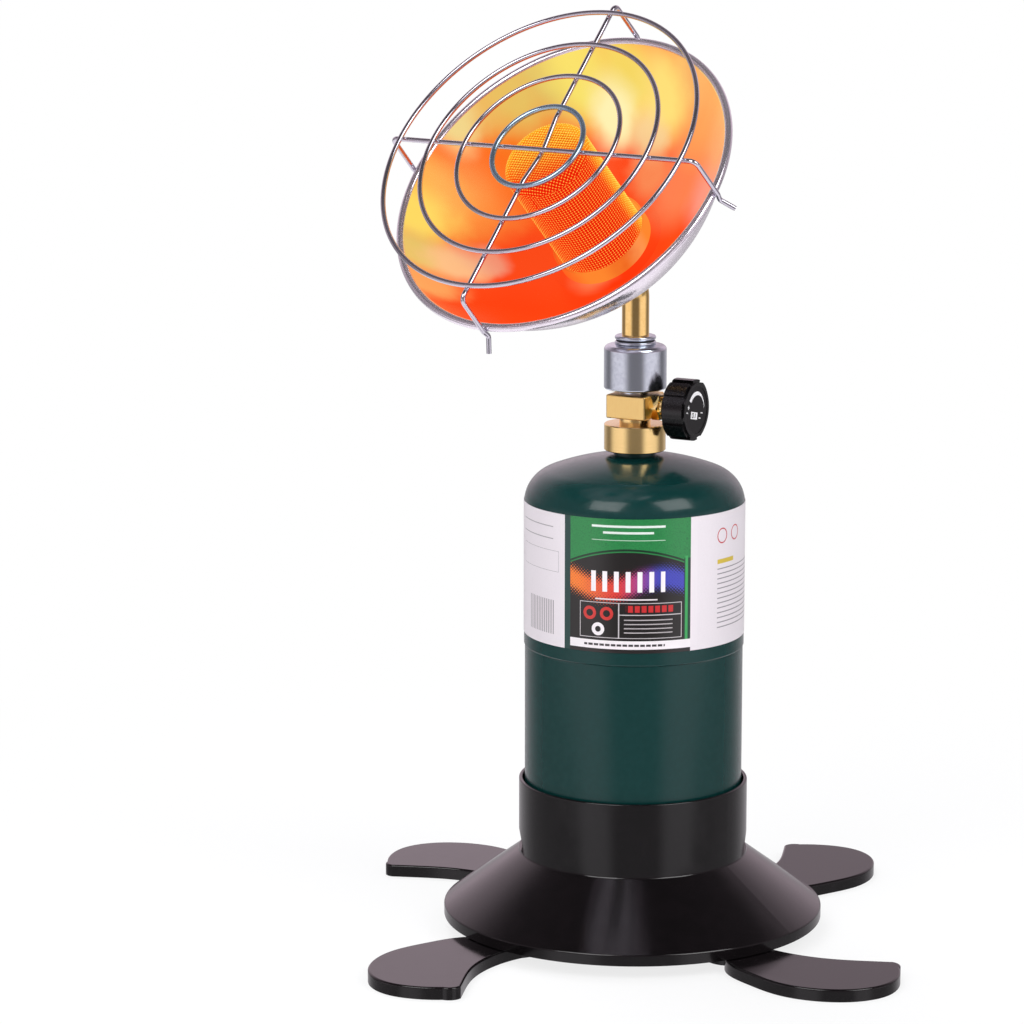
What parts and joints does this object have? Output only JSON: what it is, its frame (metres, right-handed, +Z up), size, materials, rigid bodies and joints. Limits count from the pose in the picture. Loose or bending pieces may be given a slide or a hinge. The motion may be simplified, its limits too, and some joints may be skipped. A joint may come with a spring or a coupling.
{
  "type": "portable propane heater",
  "caption": "Radiant dish heater with wire guard and mesh burner, screwed on a small propane cylinder that stands in a round cup base with swing-out feet.",
  "frame": {"origin": "on the floor, on the cylinder's axis, midway between the feet", "axes": "+Z up along the cylinder's axis; the dish faces -Y and up; the knob points near +X"},
  "size_m": [0.3026, 0.3026, 0.4191],
  "materials": {
    "gloss_black_plastic": "gloss",
    "green_paint": "satin gloss",
    "label_print": "satin print",
    "brass": "machined",
    "sintered_bronze": "matt",
    "zinc_steel": "bright zinc",
    "screw_steel": "satin",
    "spring_steel": "satin",
    "chrome_wire": "bright",
    "polished_steel": "polished",
    "burner_steel": "heat tinted",
    "black_knob_plastic": "satin",
    "dial_print": "printed",
    "rubber": "matt"
  },
  "bodies": {
    "base": {"base_shell": "gloss_black_plastic", "foot_screws": "screw_steel"},
    "foot_1": {"foot_1": "gloss_black_plastic"},
    "foot_2": {"foot_2": "gloss_black_plastic"},
    "foot_3": {"foot_3": "gloss_black_plastic"},
    "foot_4": {"foot_4": "gloss_black_plastic"},
    "cylinder": {"cylinder_lower_shell": "green_paint", "cylinder_upper_shell": "green_paint", "cylinder_foot_ring": "green_paint", "label_wrap": "label_print", "cylinder_neck": "green_paint", "core_body": "brass", "core_spring": "spring_steel"},
    "poppet": {"core_poppet": "brass"},
    "gasket": {"inlet_gasket": "rubber"},
    "heater": {"inlet_connector": "brass", "depressor": "brass", "inlet_filter": "sintered_bronze", "valve_block": "brass", "gland_nut": "brass", "stem_packing": "rubber", "jet_holder": "brass", "orifice_jet": "brass", "mixer_sleeve": "zinc_steel", "tube_washer": "zinc_steel", "tube_seal": "rubber", "tube_collar": "zinc_steel", "mixing_tube": "brass", "reflector": "polished_steel", "burner_seat": "burner_steel", "back_washer": "zinc_steel", "locknut": "brass", "burner_mesh": "burner_steel", "burner_inner_mesh": "burner_steel", "burner_cap": "burner_steel", "guard_ring_1": "chrome_wire", "guard_ring_2": "chrome_wire", "guard_ring_3": "chrome_wire", "guard_ring_4": "chrome_wire", "guard_wire_level": "chrome_wire", "guard_wire_upright": "chrome_wire"},
    "stem": {"needle_stem": "screw_steel"},
    "knob": {"knob": "black_knob_plastic", "knob_dial": "dial_print"}
  },
  "joints": [
    {"name": "foot_1_swing", "type": "hinge", "parent": "base", "child": "foot_1", "pos_m": [0.06619, -0.0175, 0.0028], "axis": [0, 0, 1], "range_deg": [0, 128]},
    {"name": "foot_2_swing", "type": "hinge", "parent": "base", "child": "foot_2", "pos_m": [0.0175, 0.06619, 0.0028], "axis": [0, 0, 1], "range_deg": [0, 128]},
    {"name": "foot_3_swing", "type": "hinge", "parent": "base", "child": "foot_3", "pos_m": [-0.06619, 0.0175, 0.0028], "axis": [0, 0, 1], "range_deg": [0, 128]},
    {"name": "foot_4_swing", "type": "hinge", "parent": "base", "child": "foot_4", "pos_m": [-0.0175, -0.06619, 0.0028], "axis": [0, 0, 1], "range_deg": [0, 128]},
    {"name": "cylinder_lift", "type": "slide", "parent": "base", "child": "cylinder", "axis": [0, 0, 1], "range_m": [0, 0.055]},
    {"name": "poppet_press", "type": "slide", "parent": "cylinder", "child": "poppet", "axis": [0, 0, -1], "range_m": [0, 0.0012], "stiffness_N_per_m": 600, "springref_m": -0.002, "deforming": ["core_spring"]},
    {"name": "thread_rise", "type": "slide", "parent": "cylinder", "child": "gasket", "axis": [0, 0, 1], "range_m": [0, 0.00635]},
    {"name": "heater_unscrew", "type": "hinge", "parent": "gasket", "child": "heater", "pos_m": [0, 0, 0.2264], "axis": [0, 0, 1], "range_deg": [0, 1800]},
    {"name": "stem_travel", "type": "slide", "parent": "heater", "child": "stem", "axis": [0.9905, 0.1374, 0], "range_m": [0, 0.0007]},
    {"name": "knob_turn", "type": "hinge", "parent": "stem", "child": "knob", "pos_m": [0.02476, 0.00344, 0.24065], "axis": [0.9905, 0.1374, 0], "range_deg": [0, 300]}
  ],
  "couplings": [
    {"joint": "thread_rise", "follows": "heater_unscrew", "m_per_rad": 0.00020213},
    {"joint": "stem_travel", "follows": "knob_turn", "m_per_rad": 0.00012732}
  ]
}
